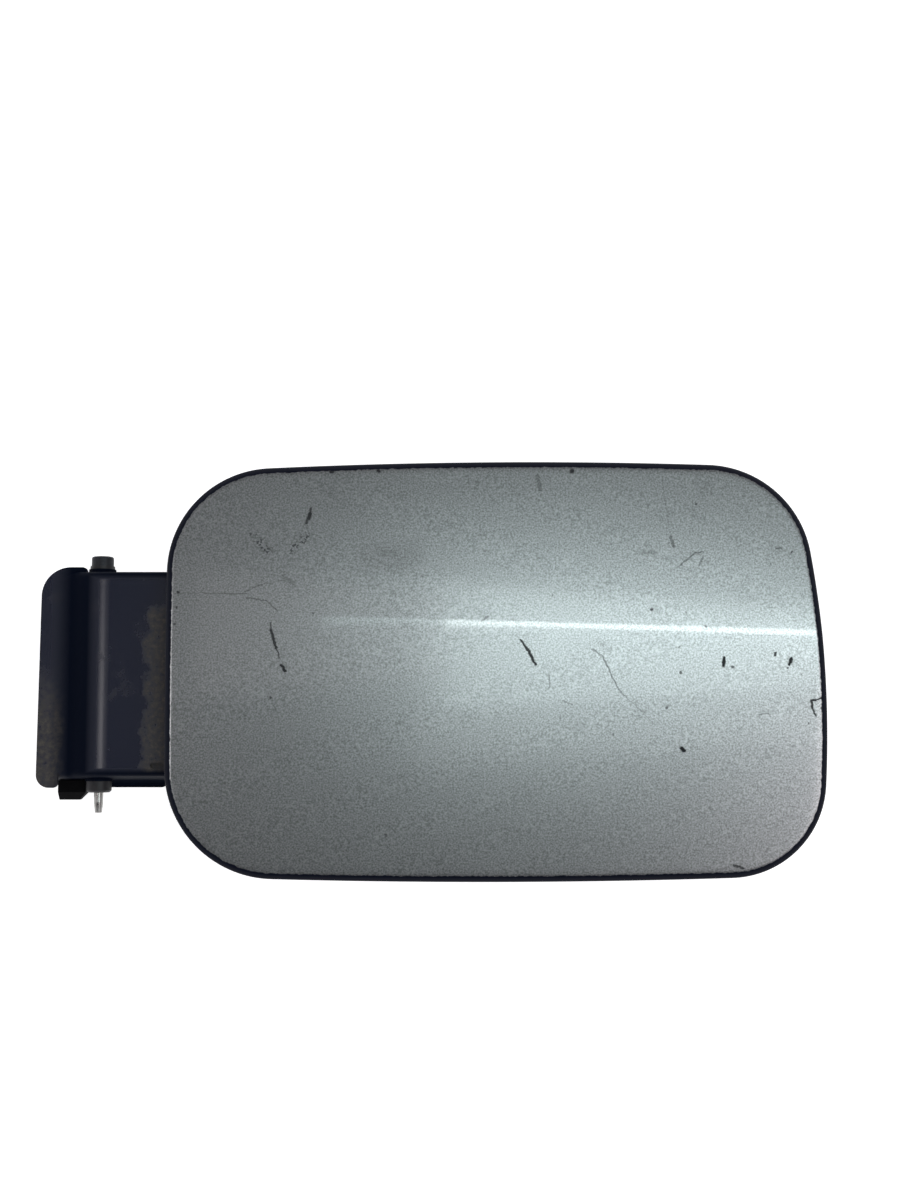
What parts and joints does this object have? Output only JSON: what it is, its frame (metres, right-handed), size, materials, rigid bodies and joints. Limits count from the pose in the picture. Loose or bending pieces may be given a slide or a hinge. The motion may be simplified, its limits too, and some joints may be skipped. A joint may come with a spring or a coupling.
{
  "type": "fuel filler flap",
  "caption": "Silver-painted car fuel filler flap with a dark gooseneck hinge arm, hinge pin, inner panel, lock eye and cap holder, swinging on its pin.",
  "frame": {"origin": "middle of the part's footprint, at the level it lies on when it rests on the arm's lip and lock eye", "axes": "+X from the hinge pin towards the free edge, +Y along the hinge pin towards its head, +Z out of the painted face"},
  "size_m": [0.2401, 0.1264, 0.0265],
  "materials": {
    "silver_paint": "gloss",
    "navy_coat": "gloss",
    "pin_steel": "satin",
    "spring_steel": "satin",
    "zinc_steel": "satin",
    "bush_plastic": "satin",
    "black_plastic": "matte",
    "black_rubber": "matte",
    "mastic": "matte"
  },
  "bodies": {
    "pin": {"hinge_pin": "pin_steel"},
    "door": {"outer_skin": "silver_paint", "inner_panel": "navy_coat", "hinge_arm": "navy_coat", "upper_bush": "bush_plastic", "lower_bush": "bush_plastic", "torsion_spring": "spring_steel", "arm_screws": "zinc_steel", "weld_nuts": "zinc_steel", "lock_eye": "navy_coat", "lock_eye_rivets": "zinc_steel", "cap_holder": "black_plastic", "bumper_upper": "black_rubber", "bumper_lower": "black_rubber", "stop_buffer": "black_rubber", "mastic_pads": "mastic"}
  },
  "joints": [
    {"name": "door_swing", "type": "hinge", "parent": "pin", "child": "door", "pos_m": [-0.10168, -0.00076, 0.0065], "axis": [0, -1, 0], "range_deg": [0, 95]}
  ]
}
